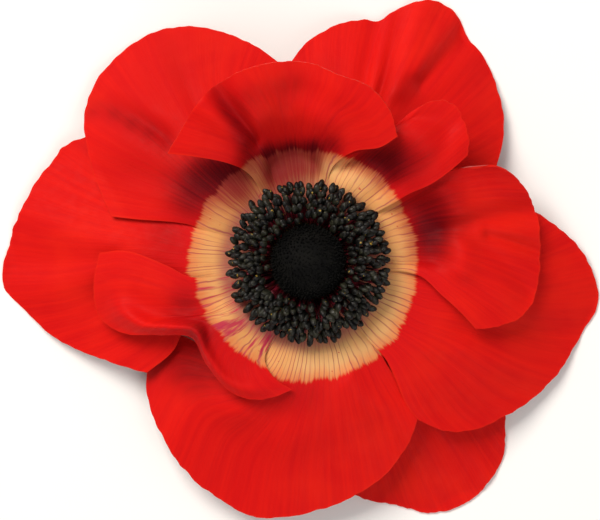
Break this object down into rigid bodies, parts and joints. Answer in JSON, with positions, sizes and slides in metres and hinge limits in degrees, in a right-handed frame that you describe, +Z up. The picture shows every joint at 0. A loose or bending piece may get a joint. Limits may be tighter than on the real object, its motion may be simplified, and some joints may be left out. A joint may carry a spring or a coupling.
{
  "type": "anemone flower head",
  "caption": "Cut poppy anemone flower head lying on its back: broad overlapping red tepals with a cream ring round a crown of dark stamens and a black domed pistil head",
  "frame": {"origin": "centre of the flower's plan outline, on the surface that it rests on", "axes": "+Z up out of the open face of the flower, +X along its longest spread, +Y towards the cupped upper tepal"},
  "size_m": [0.0895, 0.0776, 0.0203],
  "materials": {
    "tepal_red": "matte",
    "stem_green": "satin",
    "pistil_black": "matte",
    "stamen_black": "satin"
  },
  "bodies": {
    "root": {"tepal_outer_upper_left": "tepal_red", "tepal_outer_left": "tepal_red", "tepal_outer_bottom": "tepal_red", "tepal_outer_lower_right": "tepal_red", "tepal_outer_right": "tepal_red", "tepal_outer_upper_right": "tepal_red", "tepal_inner_top": "tepal_red", "tepal_inner_upper_right": "tepal_red", "tepal_inner_right": "tepal_red", "tepal_inner_lower_left": "tepal_red", "stem_and_receptacle": "stem_green", "pistil_head": "pistil_black", "stamen_01": "stamen_black", "stamen_02": "stamen_black", "stamen_03": "stamen_black", "stamen_04": "stamen_black", "stamen_05": "stamen_black", "stamen_06": "stamen_black", "stamen_07": "stamen_black", "stamen_08": "stamen_black", "stamen_09": "stamen_black", "stamen_10": "stamen_black", "stamen_11": "stamen_black", "stamen_12": "stamen_black", "stamen_13": "stamen_black", "stamen_14": "stamen_black", "stamen_15": "stamen_black", "stamen_16": "stamen_black", "stamen_17": "stamen_black", "stamen_18": "stamen_black", "stamen_19": "stamen_black", "stamen_20": "stamen_black", "stamen_21": "stamen_black", "stamen_22": "stamen_black", "stamen_23": "stamen_black", "stamen_24": "stamen_black", "stamen_25": "stamen_black", "stamen_26": "stamen_black", "stamen_27": "stamen_black", "stamen_28": "stamen_black", "stamen_29": "stamen_black", "stamen_30": "stamen_black", "stamen_31": "stamen_black", "stamen_32": "stamen_black", "stamen_33": "stamen_black", "stamen_34": "stamen_black", "stamen_35": "stamen_black", "stamen_36": "stamen_black", "stamen_37": "stamen_black", "stamen_38": "stamen_black", "stamen_39": "stamen_black", "stamen_40": "stamen_black"}
  },
  "joints": []
}
